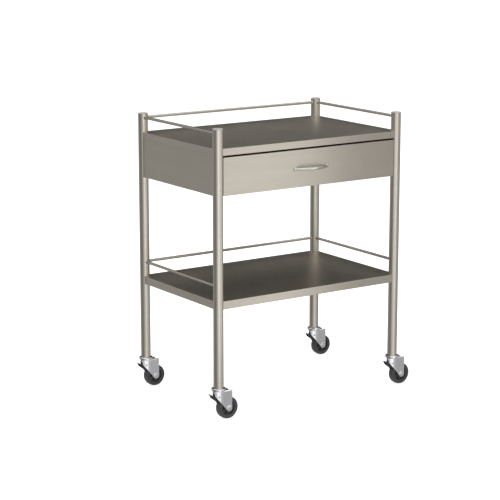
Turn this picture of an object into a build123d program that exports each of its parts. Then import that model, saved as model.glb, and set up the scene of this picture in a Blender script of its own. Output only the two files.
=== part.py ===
from build123d import *
from math import cos, degrees, radians, sin, sqrt
import os

# Two-tier instrument trolley: a welded tube frame with two folded shelves, guard rails,
# one drawer on telescopic runners, and four braked swivel castors.
# Millimetres. +X right, +Y back, +Z up, with the floor at z = 0.

# ---- Frame sizes -----------------------------------------------------------------------
leg_pitch_x = 726.0  # between leg axes, left to right
leg_pitch_y = 464.0  # between leg axes, front to back
leg_d = 33.7  # leg tube, outside
leg_wall = 1.5
shelf_height = 900.0  # floor to the top shelf's surface
post_rise = 65.0  # from the top shelf up to the top of the leg caps
lower_height = 399.0  # floor to the lower shelf's surface
shelf_over = 9.3  # from a leg's axis out to the faces of shelves and panels
top_flange = 23.0  # depth of the top shelf's folded edge
lower_flange = 27.0
shelf_sheet = 1.2
shelf_lip = 14.0  # return fold under each shelf
fold_radius = 1.8
stiffener_width = 40.0
stiffener_depth = 14.0
stiffener_brim = 12.0
rail_d = 10.0
rail_rise = 49.5  # from a shelf's surface up to its guard rail's axis
cap_thick = 2.0
cap_plug = 14.0
seat = 0.05  # gap of a fitted or welded joint

# ---- Drawer housing and drawer ---------------------------------------------------------
housing_depth = 154.0  # top shelf down to the lower edge of the panels and drawer front
panel_sheet = 1.2
panel_fold = 16.0  # inward fold along a panel's top and bottom
front_reveal = 6.0  # gap between the top shelf's edge and the drawer front
front_thick = 18.0
front_side_gap = 1.2  # between the drawer front's skin and a leg, along X
front_body_gap = 1.6  # between the drawer front's folded body and a leg
drawer_sheet = 1.0
drawer_wall = 92.0  # height of the drawer's walls
drawer_rise = 8.0  # drawer floor above the housing's lower edge
drawer_corner = 4.0
travel = 380.0  # how far the drawer pulls out
bumper_d = 14.0
bumper_thick = 7.0
bumper_gap = 0.4
bumper_inset = 60.0  # from a side of the drawer
runner_length = 400.0
runner_height = 45.0
runner_thick = 12.7  # all three members, closed
runner_sheet = 1.4
runner_leg_gap = 0.5
runner_setback = 2.0  # behind the drawer front
ball_gap = 3.2  # room for the balls between two members
bracket_sheet = 1.5
bracket_height = 36.0
bracket_foot = 14.0
bracket_inset = 70.0  # from a runner's end to its bracket

# ---- Handle ----------------------------------------------------------------------------
handle_centres = 128.0
handle_reach = 28.0  # from the drawer's face to the middle of the bow
handle_bar_height = 9.0
handle_bar_thick = 6.0
handle_foot_d = 14.0
handle_foot_thick = 4.0
screw_d = 4.0
screw_clearance = 0.2
screw_depth = 9.0  # into the handle, from the drawer's face
screw_head_d = 8.0
screw_head_thick = 2.5

# ---- Castors ---------------------------------------------------------------------------
castor_rise = 35.0  # from the top of a wheel up to the bottom of its leg
castor_turn = 0.0  # degrees, the way all four trail when parked
wheel_d = 75.0
tread = 24.0
tyre_thick = 9.0
tyre_shoulder = 4.0
trail = 32.0  # kingpin to axle
fork_gap = 28.0  # between the fork's cheeks
fork_sheet = 2.0
fork_drop = 10.0  # from the leg's bottom down to the fork's plate
fork_front = 22.0  # ahead of the kingpin
fork_lead = 14.0  # cheeks' depth ahead of the kingpin, where they start down to the axle
fork_boss_r = 11.0  # cheek round the axle
fork_crown = 3.0  # plate thickness
fork_plate_back = 27.0  # plate's end behind the kingpin
fork_corner = 4.0
housing_d = 48.0  # swivel housing
housing_rise = 8.4  # swivel housing, above the fork's plate
housing_sheet = 1.6
housing_round = 3.6
stem_d = 12.0
stem_up = 28.0  # stem inside the leg
collar_d = 28.0
collar_thick = 3.0
bearing_d = 26.0
rivet_d = 20.0
rivet_thick = 4.0
insert_length = 30.0
axle_d = 8.0
axle_head = 13.0  # across flats
axle_head_thick = 4.0
running = 0.05  # radial running clearance of a shaft
side_play = 0.5  # between the hub and a cheek
hub_boss_d = 20.0
hub_web = 6.0
hub_rim = 4.0
swivel_gap = 0.3  # between parts that turn past each other
pin_d = 4.0
pin_head_d = 7.0
pin_head_thick = 1.2
pin_lead = 7.0  # brake pivot, ahead of the kingpin
pin_drop = 20.0  # brake pivot, below the fork's plate
brake_swing = 8.0  # degrees, from off to on
brake_sheet = 2.5
brake_wide = 26.0  # pedal
brake_side_play = 1.5
pedal_lead = 30.0  # pedal's tip, ahead of the kingpin
pedal_drop = 13.0  # pedal's tip, below the fork's plate
shoe_thick = 2.5
shoe_length = 8.0
shoe_gap = 2.4  # shoe to tyre with the brake off
shoe_angle = radians(147)  # place of the shoe round the tyre, up from +u

# ---- Places worked out from the sizes --------------------------------------------------
leg_r = leg_d / 2
wheel_r = wheel_d / 2
turn = radians(castor_turn)
castor_height = wheel_d + castor_rise
post_height = shelf_height + post_rise
housing_bottom = shelf_height - housing_depth
# The whole trolley's box is centred on the origin, so the legs' rectangle stands off it.
reach_back = (trail + wheel_r) * cos(turn) + tread / 2 * abs(sin(turn))
reach_lead = pedal_lead * cos(turn) + brake_wide / 2 * abs(sin(turn))
middle_x = (reach_lead - reach_back) / 2
reach_front = shelf_over + handle_reach + handle_bar_thick / 2
reach_rear = max(housing_d / 2, pedal_lead * abs(sin(turn)) + brake_wide / 2 * cos(turn))
middle_y = (reach_front - reach_rear) / 2

left = middle_x - leg_pitch_x / 2
right = middle_x + leg_pitch_x / 2
front = middle_y - leg_pitch_y / 2
back = middle_y + leg_pitch_y / 2
legs = {
    "front_left": (left, front),
    "front_right": (right, front),
    "back_left": (left, back),
    "back_right": (right, back),
}
middle = (middle_x, middle_y)
shelf_w = leg_pitch_x + 2 * shelf_over
shelf_d = leg_pitch_y + 2 * shelf_over
face_y = front - shelf_over  # plane of the shelves' and drawer's front faces
rear_y = back + shelf_over
housing_roof = shelf_height - top_flange
front_top = housing_roof - front_reveal
front_height = front_top - housing_bottom
handle_z = housing_bottom + front_height / 2

# Each front corner of the drawer's skin stands clear of the round leg beside it.
skin_back = shelf_over - panel_sheet
skin_w = leg_pitch_x - 2 * (sqrt(leg_r**2 - skin_back**2) + front_side_gap)
front_w = leg_pitch_x - 2 * (leg_r + front_body_gap)
front_back_y = face_y + front_thick

runner_face = leg_r + runner_leg_gap  # from a leg's axis to the runner's fixed face
drawer_w = leg_pitch_x - 2 * (runner_face + runner_thick)
drawer_back_y = rear_y - panel_sheet - bumper_gap - bumper_thick
drawer_d = drawer_back_y - front_back_y
drawer_z = housing_bottom + drawer_rise
runner_y = front_back_y + runner_setback
runner_z = drawer_z + drawer_wall / 2

os.makedirs("parts", exist_ok=True)


def save(part, name):
    part.label = name
    export_step(part, f"parts/{name}.step")


# ---- Legs, caps and sockets ------------------------------------------------------------
def make_leg(x, y):
    with BuildPart() as leg:
        with BuildSketch(Plane.XY.offset(castor_height)):
            with Locations((x, y)):
                Circle(leg_r)
                Circle(leg_r - leg_wall, mode=Mode.SUBTRACT)
        extrude(amount=post_height - cap_thick - castor_height)
    return leg.part


for corner, place in legs.items():
    save(make_leg(*place), f"leg_{corner}")

with BuildPart() as leg_caps:
    with BuildSketch(Plane.XY.offset(post_height - cap_thick)):
        with Locations(*legs.values()):
            Circle(leg_r)
    extrude(amount=cap_thick)
    fillet(leg_caps.edges().group_by(Axis.Z)[-1], radius=cap_thick / 2)
    with BuildSketch(Plane.XY.offset(post_height - cap_thick)):
        with Locations(*legs.values()):
            Circle(leg_r - leg_wall - seat)
    extrude(amount=-cap_plug)
save(leg_caps.part, "leg_caps")

with BuildPart() as leg_sockets:
    with BuildSketch(Plane.XY.offset(castor_height)):
        with Locations(*legs.values()):
            Circle(leg_r - leg_wall - seat)
            Circle(stem_d / 2 + seat, mode=Mode.SUBTRACT)
    extrude(amount=insert_length)
save(leg_sockets.part, "leg_sockets")

# ---- Kingpins and swivel bearings, fixed to the legs -----------------------------------
fork_top = castor_height - fork_drop
fork_plate_bottom = fork_top - fork_crown
rivet_top = fork_plate_bottom - swivel_gap

with BuildPart() as castor_kingpins:
    with BuildSketch(Plane.XY.offset(rivet_top - rivet_thick)):
        with Locations(*legs.values()):
            Circle(stem_d / 2)
    extrude(amount=castor_height + stem_up - rivet_top + rivet_thick)
    with BuildSketch(Plane.XY.offset(castor_height - collar_thick)):
        with Locations(*legs.values()):
            Circle(collar_d / 2)
    extrude(amount=collar_thick)
    with BuildSketch(Plane.XY.offset(rivet_top - rivet_thick)):
        with Locations(*legs.values()):
            Circle(rivet_d / 2)
    extrude(amount=rivet_thick)
save(castor_kingpins.part, "castor_kingpins")

with BuildPart() as swivel_bearings:
    with BuildSketch(Plane.XY.offset(fork_top + swivel_gap)):
        with Locations(*legs.values()):
            Circle(bearing_d / 2)
            Circle(stem_d / 2 + seat, mode=Mode.SUBTRACT)
    extrude(amount=castor_height - collar_thick - fork_top - swivel_gap)
save(swivel_bearings.part, "swivel_bearings")


# ---- Shelves: folded pans with notched corners -----------------------------------------
def make_shelf(height, flange):
    with BuildPart() as shelf:
        with BuildSketch(Plane.XY.offset(height)):
            with Locations(middle):
                Rectangle(shelf_w, shelf_d)
        extrude(amount=-flange)
        fillet(shelf.edges().group_by(Axis.Z)[-1], radius=fold_radius)
        with BuildSketch(Plane.XY.offset(height - shelf_sheet)):
            with Locations(middle):
                Rectangle(shelf_w - 2 * shelf_sheet, shelf_d - 2 * shelf_sheet)
        extrude(amount=-(flange - 2 * shelf_sheet), mode=Mode.SUBTRACT)
        with BuildSketch(Plane.XY.offset(height - flange)):
            with Locations(middle):
                Rectangle(shelf_w - 2 * shelf_lip, shelf_d - 2 * shelf_lip)
        extrude(amount=shelf_sheet, mode=Mode.SUBTRACT)
        with BuildSketch(Plane.XY.offset(height)):
            with Locations(*legs.values()):
                Circle(leg_r + seat)
        extrude(amount=-flange, mode=Mode.SUBTRACT)
    return shelf.part


save(make_shelf(shelf_height, top_flange), "top_shelf")
save(make_shelf(lower_height, lower_flange), "lower_shelf")

# A hat section runs along the underside of each shelf.
hat_length = shelf_w - 2 * shelf_sheet - 2 * seat
hat_box = stiffener_width - 2 * stiffener_brim

with BuildPart() as shelf_stiffeners:
    for height in (shelf_height, lower_height):
        under = height - shelf_sheet
        with BuildSketch(Plane.YZ.offset(middle_x)):
            with Locations((middle_y, under - shelf_sheet / 2)):
                Rectangle(stiffener_width, shelf_sheet)
            with Locations((middle_y, under - stiffener_depth / 2)):
                Rectangle(hat_box + 2 * shelf_sheet, stiffener_depth)
                Rectangle(hat_box, stiffener_depth, mode=Mode.SUBTRACT)
            with Locations((middle_y, under - stiffener_depth + shelf_sheet / 2)):
                Rectangle(hat_box, shelf_sheet)
        extrude(amount=hat_length / 2, both=True)
save(shelf_stiffeners.part, "shelf_stiffeners")


# ---- Guard rails: rods with their ends coped to the legs -------------------------------
def make_rail(height, start, end):
    along = Vector(*end) - Vector(*start)
    with BuildPart() as rail:
        with BuildSketch(Plane(origin=(*start, height), z_dir=along)):
            Circle(rail_d / 2)
        extrude(amount=along.length)
        with BuildSketch(Plane.XY.offset(height - rail_d)):
            with Locations(start, end):
                Circle(leg_r + seat)
        extrude(amount=2 * rail_d, mode=Mode.SUBTRACT)
    return rail.part


rail_sides = {
    "back": (legs["back_left"], legs["back_right"]),
    "left": (legs["front_left"], legs["back_left"]),
    "right": (legs["front_right"], legs["back_right"]),
}
for tier, height in (("top", shelf_height), ("lower", lower_height)):
    for side, (start, end) in rail_sides.items():
        save(make_rail(height + rail_rise, start, end), f"{tier}_rail_{side}")


# ---- Housing panels round the drawer ---------------------------------------------------
def make_panel(corners, outward):
    """A folded panel between two legs, with its face shelf_over outside their axes."""
    (x1, y1), (x2, y2) = corners
    along_x = abs(x2 - x1)
    along_y = abs(y2 - y1)
    centre = Vector((x1 + x2) / 2, (y1 + y2) / 2)
    out = Vector(*outward)
    plate = centre + out * (shelf_over - panel_sheet / 2)
    fold = centre + out * (shelf_over - panel_fold / 2)
    thin = (along_x or panel_sheet, along_y or panel_sheet)
    wide = (along_x or panel_fold, along_y or panel_fold)
    top = housing_roof - seat
    with BuildPart() as panel:
        with BuildSketch(Plane.XY.offset(housing_bottom)):
            with Locations((plate.X, plate.Y)):
                Rectangle(*thin)
        extrude(amount=top - housing_bottom)
        for z in (housing_bottom, top - panel_sheet):
            with BuildSketch(Plane.XY.offset(z)):
                with Locations((fold.X, fold.Y)):
                    Rectangle(*wide)
            extrude(amount=panel_sheet)
        with BuildSketch(Plane.XY.offset(housing_bottom)):
            with Locations(*corners):
                Circle(leg_r + seat)
        extrude(amount=top - housing_bottom, mode=Mode.SUBTRACT)
    return panel.part


panel_sides = {
    "side_panel_left": (rail_sides["left"], (-1, 0)),
    "side_panel_right": (rail_sides["right"], (1, 0)),
    "back_panel": (rail_sides["back"], (0, 1)),
}
for name, (corners, outward) in panel_sides.items():
    save(make_panel(corners, outward), name)

# ---- Telescopic runners ----------------------------------------------------------------
# Each member's profile, measured inward from its leg's axis and up from the runner's axis.
outer_half = runner_height / 2
middle_half = outer_half - runner_sheet - ball_gap
inner_half = middle_half - runner_sheet - ball_gap
web_gap = (runner_thick - 3 * runner_sheet) / 2


def make_runner(side, web_from, flange_from, flange_to, half):
    """One channel of a runner: side is 1 on the left and -1 on the right."""
    axis_x = left if side == 1 else right
    with BuildPart() as runner:
        with BuildSketch(Plane.XZ.offset(-runner_y)):
            web_x = axis_x + side * (runner_face + web_from + runner_sheet / 2)
            with Locations((web_x, runner_z)):
                Rectangle(runner_sheet, 2 * half)
            flange_x = axis_x + side * (runner_face + (flange_from + flange_to) / 2)
            flange_z = half - runner_sheet / 2
            with Locations((flange_x, runner_z - flange_z), (flange_x, runner_z + flange_z)):
                Rectangle(flange_to - flange_from, runner_sheet)
        extrude(amount=-runner_length)
    return runner.part


outer_member = (0, 0, runner_thick - web_gap - runner_sheet, outer_half)
middle_web = runner_sheet + web_gap
middle_member = (middle_web, middle_web, runner_thick - 1.5 * runner_sheet, middle_half)
inner_web = runner_thick - runner_sheet
inner_member = (inner_web, middle_web + 2 * runner_sheet, runner_thick, inner_half)
for side_name, side in (("left", 1), ("right", -1)):
    save(make_runner(side, *outer_member), f"runner_outer_{side_name}")
    save(make_runner(side, *middle_member), f"runner_middle_{side_name}")
    save(make_runner(side, *inner_member), f"runner_inner_{side_name}")

# Four Z-folded brackets carry the fixed members off the side panels.
panel_inside = shelf_over - panel_sheet
bracket_span = runner_face + panel_inside

with BuildPart() as runner_brackets:
    with BuildSketch(Plane.XY.offset(runner_z - bracket_height / 2)):
        for axis_x, side in ((left, 1), (right, -1)):
            start_x = axis_x - side * panel_inside
            end_x = axis_x + side * runner_face
            for y in (runner_y + bracket_inset, runner_y + runner_length - bracket_inset):
                with Locations(((start_x + end_x) / 2, y)):
                    Rectangle(bracket_span, bracket_sheet)
                with Locations((start_x + side * bracket_sheet / 2, y + bracket_foot / 2)):
                    Rectangle(bracket_sheet, bracket_foot)
                with Locations((end_x - side * bracket_sheet / 2, y - bracket_foot / 2)):
                    Rectangle(bracket_sheet, bracket_foot)
    extrude(amount=bracket_height)
save(runner_brackets.part, "runner_brackets")

# ---- Drawer ----------------------------------------------------------------------------
handle_x = (middle_x - handle_centres / 2, middle_x + handle_centres / 2)
handle_feet = [(x, handle_z) for x in handle_x]
# On this plane sketches are drawn as (x, z), and it faces the user.
drawer_face = Plane.XZ.offset(-face_y)
front_centre = (middle_x, handle_z)

with BuildPart() as drawer_front:
    with BuildSketch(drawer_face):
        with Locations(front_centre):
            Rectangle(front_w, front_height)
    extrude(amount=-front_thick)
    with BuildSketch(Plane.XZ.offset(-face_y - panel_sheet)):
        with Locations(front_centre):
            Rectangle(front_w - 2 * panel_sheet, front_height - 2 * panel_sheet)
    extrude(amount=-(front_thick - panel_sheet), mode=Mode.SUBTRACT)
    with BuildSketch(drawer_face):
        with Locations(front_centre):
            Rectangle(skin_w, front_height)
    extrude(amount=-panel_sheet)
    with BuildSketch(drawer_face):
        with Locations(*handle_feet):
            Circle(screw_d / 2 + screw_clearance)
    extrude(amount=-panel_sheet, mode=Mode.SUBTRACT)
save(drawer_front.part, "drawer_front")

with BuildPart() as drawer_front_liner:
    with BuildSketch(Plane.XZ.offset(-front_back_y)):
        with Locations(front_centre):
            liner_w = front_w - 2 * (panel_sheet + seat)
            Rectangle(liner_w, front_height - 2 * (panel_sheet + seat))
    extrude(amount=drawer_sheet)
save(drawer_front_liner.part, "drawer_front_liner")

box_centre = (middle_x, front_back_y + drawer_d / 2)

with BuildPart() as drawer_box:
    with BuildSketch(Plane.XY.offset(drawer_z)):
        with Locations(box_centre):
            RectangleRounded(drawer_w, drawer_d, drawer_corner)
    extrude(amount=drawer_wall)
    with BuildSketch(Plane.XY.offset(drawer_z + drawer_sheet)):
        with Locations(box_centre):
            inside_w = drawer_w - 2 * drawer_sheet
            inside_d = drawer_d - 2 * drawer_sheet
            RectangleRounded(inside_w, inside_d, drawer_corner - drawer_sheet)
    extrude(amount=drawer_wall - drawer_sheet, mode=Mode.SUBTRACT)
save(drawer_box.part, "drawer_box")

with BuildPart() as drawer_bumpers:
    with BuildSketch(Plane.XZ.offset(-drawer_back_y)):
        with Locations((middle_x, runner_z)):
            with GridLocations(drawer_w - 2 * bumper_inset, 0, 2, 1):
                Circle(bumper_d / 2)
    extrude(amount=-bumper_thick)
save(drawer_bumpers.part, "drawer_bumpers")

# The bow is one arc between its feet, cut flat against the drawer's face.
with BuildPart() as drawer_handle:
    with BuildLine(Plane.XY.offset(handle_z)) as bow:
        ThreePointArc(
            (handle_x[0], face_y),
            (middle_x, face_y - handle_reach),
            (handle_x[1], face_y),
        )
    with BuildSketch(Plane(origin=bow.line @ 0, x_dir=(0, 0, 1), z_dir=bow.line % 0)):
        Ellipse(handle_bar_height / 2, handle_bar_thick / 2)
    sweep(path=bow.line)
    with BuildSketch(drawer_face):
        with Locations(*handle_feet):
            Circle(handle_foot_d / 2)
    extrude(amount=handle_foot_thick)
    with BuildSketch(drawer_face):
        with Locations(front_centre):
            Rectangle(2 * handle_centres, 4 * handle_bar_height)
    extrude(amount=-handle_foot_d, mode=Mode.SUBTRACT)
    with BuildSketch(drawer_face):
        with Locations(*handle_feet):
            Circle(screw_d / 2 + seat)
    extrude(amount=screw_depth, mode=Mode.SUBTRACT)
save(drawer_handle.part, "drawer_handle")

with BuildPart() as handle_screws:
    with BuildSketch(Plane.XZ.offset(-face_y - panel_sheet)):
        with Locations(*handle_feet):
            Circle(screw_head_d / 2)
    extrude(amount=-screw_head_thick)
    with BuildSketch(Plane.XZ.offset(-face_y - panel_sheet)):
        with Locations(*handle_feet):
            Circle(screw_d / 2)
    extrude(amount=panel_sheet + screw_depth - seat)
save(handle_screws.part, "handle_screws")

# ---- Castors ---------------------------------------------------------------------------
# Sketches on a castor's side plane are drawn as (u, z): u runs from the kingpin towards
# the axle, and the plane faces along the axle.
fork_outer = fork_gap / 2 + fork_sheet
fork_back = trail + fork_boss_r
fork_lead_z = fork_top - fork_lead
wheel_w = fork_gap - 2 * side_play
pin_place = (-pin_lead, fork_top - pin_drop)
pedal_tip = (-pedal_lead, fork_top - pedal_drop)


def castor_planes(place):
    direction = (cos(turn), sin(turn), 0)
    base = Plane(origin=(*place, 0), x_dir=direction, z_dir=(0, 0, 1))
    side = Plane(origin=(*place, 0), x_dir=direction, z_dir=(sin(turn), -cos(turn), 0))
    return base, side


def make_fork(base, side):
    with BuildPart() as fork:
        with BuildSketch(side):
            with Locations((trail, wheel_r)):
                Circle(fork_boss_r)
            with Locations(((fork_back - fork_front) / 2, (fork_lead_z + fork_top) / 2)):
                Rectangle(fork_back + fork_front, fork_top - fork_lead_z)
            make_hull()
        extrude(amount=fork_outer, both=True)
        rims = fork.edges().filter_by(Axis((0, 0, 0), base.x_dir)).group_by(Axis.Z)[-1]
        fillet(rims, radius=fork_corner)
        with BuildSketch(side):
            with Locations(((fork_back - fork_front) / 2, fork_plate_bottom / 2)):
                Rectangle(2 * (fork_back + fork_front), fork_plate_bottom)
        extrude(amount=fork_gap / 2, both=True, mode=Mode.SUBTRACT)
        with BuildSketch(side):
            with Locations((fork_plate_back + fork_back, fork_top)):
                Rectangle(2 * fork_back, 4 * fork_crown)
        extrude(amount=fork_gap / 2, both=True, mode=Mode.SUBTRACT)
        with BuildSketch(side):
            with Locations((trail, wheel_r)):
                Circle(axle_d / 2 + seat)
            with Locations(pin_place):
                Circle(pin_d / 2 + seat)
        extrude(amount=fork_outer, both=True, mode=Mode.SUBTRACT)
        with BuildSketch(base.offset(fork_plate_bottom)):
            Circle(stem_d / 2 + running)
        extrude(amount=fork_crown, mode=Mode.SUBTRACT)
    return fork.part


def make_swivel_housing(base, side):
    """A dished cup over the swivel bearing, open round the kingpin's collar."""
    with BuildPart() as housing:
        with BuildSketch(base.offset(fork_top)):
            Circle(housing_d / 2)
        extrude(amount=housing_rise)
        fillet(housing.edges().group_by(Axis.Z)[-1], radius=housing_round)
        with BuildSketch(base.offset(fork_top)):
            Circle(housing_d / 2 - housing_sheet)
        extrude(amount=housing_rise - housing_sheet, mode=Mode.SUBTRACT)
        with BuildSketch(base.offset(fork_top)):
            Circle(collar_d / 2 + swivel_gap)
        extrude(amount=housing_rise, mode=Mode.SUBTRACT)
    return housing.part


def make_fasteners(base, side):
    """The axle bolt, its nut, and the brake's pivot pin."""
    bolt_side = side.offset(fork_outer)
    nut_side = side.offset(-fork_outer)
    with BuildPart() as fasteners:
        with BuildSketch(bolt_side):
            with Locations((trail, wheel_r)):
                RegularPolygon(axle_head / 2, 6, major_radius=False)
        extrude(amount=axle_head_thick)
        with BuildSketch(bolt_side):
            with Locations((trail, wheel_r)):
                Circle(axle_d / 2)
        extrude(amount=-(2 * fork_outer + axle_head_thick))
        with BuildSketch(nut_side):
            with Locations((trail, wheel_r)):
                RegularPolygon(axle_head / 2, 6, major_radius=False)
                Circle(axle_d / 2 + seat, mode=Mode.SUBTRACT)
        extrude(amount=-axle_head_thick)
        with BuildSketch(side):
            with Locations(pin_place):
                Circle(pin_d / 2)
        extrude(amount=fork_outer, both=True)
        for plane, way in ((bolt_side, 1), (nut_side, -1)):
            with BuildSketch(plane):
                with Locations(pin_place):
                    Circle(pin_head_d / 2)
            extrude(amount=way * pin_head_thick)
    return fasteners.part


def make_tyre(base, side):
    with BuildPart() as tyre:
        with BuildSketch(side):
            with Locations((trail, wheel_r)):
                Circle(wheel_r)
        extrude(amount=tread / 2, both=True)
        fillet(tyre.edges(), radius=tyre_shoulder)
        with BuildSketch(side):
            with Locations((trail, wheel_r)):
                Circle(wheel_r - tyre_thick)
        extrude(amount=tread / 2, both=True, mode=Mode.SUBTRACT)
    return tyre.part


def make_hub(base, side):
    rim_r = wheel_r - tyre_thick
    with BuildPart() as hub:
        with BuildSketch(side):
            with Locations((trail, wheel_r)):
                Circle(rim_r)
                Circle(rim_r - hub_rim, mode=Mode.SUBTRACT)
        extrude(amount=tread / 2 - hub_rim / 4, both=True)
        with BuildSketch(side):
            with Locations((trail, wheel_r)):
                Circle(rim_r - hub_rim / 2)
        extrude(amount=hub_web / 2, both=True)
        with BuildSketch(side):
            with Locations((trail, wheel_r)):
                Circle(hub_boss_d / 2)
        extrude(amount=wheel_w / 2, both=True)
        with BuildSketch(side):
            with Locations((trail, wheel_r)):
                Circle(axle_d / 2 + running)
        extrude(amount=wheel_w / 2, both=True, mode=Mode.SUBTRACT)
    return hub.part


# The brake's blade runs from the pedal's root down to its shoe, which faces the tyre.
shoe_reach = wheel_r + shoe_gap + shoe_thick / 2
shoe_u = trail + shoe_reach * cos(shoe_angle)
shoe_z = wheel_r + shoe_reach * sin(shoe_angle)
blade_reach = shoe_reach + shoe_thick / 2
blade_u = trail + blade_reach * cos(shoe_angle)
blade_z = wheel_r + blade_reach * sin(shoe_angle)
pedal_root = (-fork_front - 1.5 * brake_sheet, fork_lead_z - brake_sheet)
blade_middle = ((pedal_root[0] + blade_u) / 2, (pedal_root[1] + blade_z) / 2)
ear_r = pin_d


def make_brake_lever(base, side):
    """A pedal on a blade, with two ears on the pivot and a shoe facing the tyre."""
    blade_half = fork_gap / 2 - brake_side_play
    ear_inside = blade_half - brake_sheet
    with BuildPart() as lever:
        with BuildSketch(side):
            with BuildLine():
                Line(pedal_root, (blade_u, blade_z))
                offset(amount=brake_sheet / 2, side=Side.BOTH)
            make_face()
        extrude(amount=blade_half, both=True)
        with BuildSketch(side):
            with BuildLine():
                Line(pedal_tip, pedal_root)
                offset(amount=brake_sheet / 2, side=Side.BOTH)
            make_face()
        extrude(amount=brake_wide / 2, both=True)
        with BuildSketch(side):
            with Locations(pin_place):
                Circle(ear_r)
            with Locations(blade_middle):
                Circle(brake_sheet)
            make_hull()
        extrude(amount=blade_half, both=True)
        with BuildSketch(side):
            with Locations(pin_place):
                Circle(ear_r + running)
        extrude(amount=ear_inside, both=True, mode=Mode.SUBTRACT)
        with BuildSketch(side):
            with Locations(Location((shoe_u, shoe_z, 0), degrees(shoe_angle))):
                Rectangle(shoe_thick, shoe_length)
        extrude(amount=ear_inside, both=True)
        with BuildSketch(side):
            with Locations(pin_place):
                Circle(pin_d / 2 + running)
        extrude(amount=blade_half, both=True, mode=Mode.SUBTRACT)
    return lever.part


castor_pieces = {
    "fork": make_fork,
    "swivel_housing": make_swivel_housing,
    "fasteners": make_fasteners,
    "tyre": make_tyre,
    "hub": make_hub,
    "brake_lever": make_brake_lever,
}
for corner, place in legs.items():
    planes = castor_planes(place)
    for piece, make in castor_pieces.items():
        save(make(*planes), f"castor_{corner}_{piece}")
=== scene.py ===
import math

import bmesh
import bpy
from mathutils import Matrix, Vector


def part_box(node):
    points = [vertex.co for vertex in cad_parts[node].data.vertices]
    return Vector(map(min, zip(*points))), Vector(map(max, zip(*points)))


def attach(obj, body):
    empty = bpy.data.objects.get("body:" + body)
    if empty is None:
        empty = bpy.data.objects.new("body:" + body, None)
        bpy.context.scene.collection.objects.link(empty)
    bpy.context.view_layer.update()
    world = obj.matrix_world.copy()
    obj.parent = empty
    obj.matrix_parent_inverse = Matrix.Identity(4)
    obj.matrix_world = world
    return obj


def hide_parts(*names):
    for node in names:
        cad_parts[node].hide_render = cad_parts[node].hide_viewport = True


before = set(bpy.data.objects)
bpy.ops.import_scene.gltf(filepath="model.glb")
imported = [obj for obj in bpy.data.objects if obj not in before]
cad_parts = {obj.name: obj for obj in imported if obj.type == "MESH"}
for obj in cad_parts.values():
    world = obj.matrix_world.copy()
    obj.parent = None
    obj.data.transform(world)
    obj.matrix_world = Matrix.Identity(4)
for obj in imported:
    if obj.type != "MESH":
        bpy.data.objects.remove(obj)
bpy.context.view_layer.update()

# Stainless instrument trolley. Sizes are millimetres and meshes are scaled to metres when
# they are made; places come from the CAD nodes' boxes.
MM = 0.001
CORNERS = ("front_left", "front_right", "back_left", "back_right")
LOOP = ("front_left", "front_right", "back_right", "back_left")  # in order round the frame


def box_mm(node):
    low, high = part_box(node)
    return Vector(low) / MM, Vector(high) / MM


def middle_mm(node):
    low, high = box_mm(node)
    return (low + high) / 2


# ---- Materials -------------------------------------------------------------------------
class Nodes:
    """A few lines of shorthand for one material's node tree."""

    def __init__(self, name, metallic, roughness):
        self.material = bpy.data.materials.new(name)
        self.material.use_nodes = True
        self.tree = self.material.node_tree
        self.shader = self.tree.nodes["Principled BSDF"]
        self.shader.inputs["Metallic"].default_value = metallic
        self.shader.inputs["Roughness"].default_value = roughness
        self.place = self.tree.nodes.new("ShaderNodeTexCoord").outputs["Object"]

    def add(self, kind, **values):
        node = self.tree.nodes.new(kind)
        for key, value in values.items():
            setattr(node, key, value)
        return node

    def link(self, source, target):
        self.tree.links.new(source, target)

    def noise(self, scale, detail=3.0, rough=0.5, stretch=(1.0, 1.0, 1.0)):
        mapping = self.add("ShaderNodeMapping")
        mapping.inputs["Scale"].default_value = stretch
        self.link(self.place, mapping.inputs["Vector"])
        noise = self.add("ShaderNodeTexNoise")
        noise.inputs["Scale"].default_value = scale
        noise.inputs["Detail"].default_value = detail
        noise.inputs["Roughness"].default_value = rough
        self.link(mapping.outputs["Vector"], noise.inputs["Vector"])
        return noise.outputs["Fac"]

    def span(self, source, low, high):
        """Maps the middle of a noise, where nearly all of it lies, to low..high."""
        spread = self.add("ShaderNodeMapRange")
        spread.inputs["From Min"].default_value = 0.3
        spread.inputs["From Max"].default_value = 0.7
        spread.inputs["To Min"].default_value = low
        spread.inputs["To Max"].default_value = high
        self.link(source, spread.inputs["Value"])
        return spread.outputs["Result"]

    def blend(self, factor, dark, light):
        mix = self.add("ShaderNodeMix", data_type="RGBA")
        self.link(factor, mix.inputs["Factor"])
        for socket, colour in ((mix.inputs["A"], dark), (mix.inputs["B"], light)):
            if isinstance(colour, tuple):
                socket.default_value = (*colour, 1.0)
            else:
                self.link(colour, socket)
        return mix.outputs["Result"]

    def plus(self, first, second):
        add = self.add("ShaderNodeMath", operation="ADD")
        self.link(first, add.inputs[0])
        self.link(second, add.inputs[1])
        return add.outputs["Value"]

    def finish(self, colour, roughness, height=None, depth=0.0001, strength=0.3):
        self.link(colour, self.shader.inputs["Base Color"])
        self.link(roughness, self.shader.inputs["Roughness"])
        if height is not None:
            bump = self.add("ShaderNodeBump")
            bump.inputs["Strength"].default_value = strength
            bump.inputs["Distance"].default_value = depth
            self.link(height, bump.inputs["Height"])
            self.link(bump.outputs["Normal"], self.shader.inputs["Normal"])
        return self.material


def scaled(colour, share):
    return tuple(channel * share for channel in colour)


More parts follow.
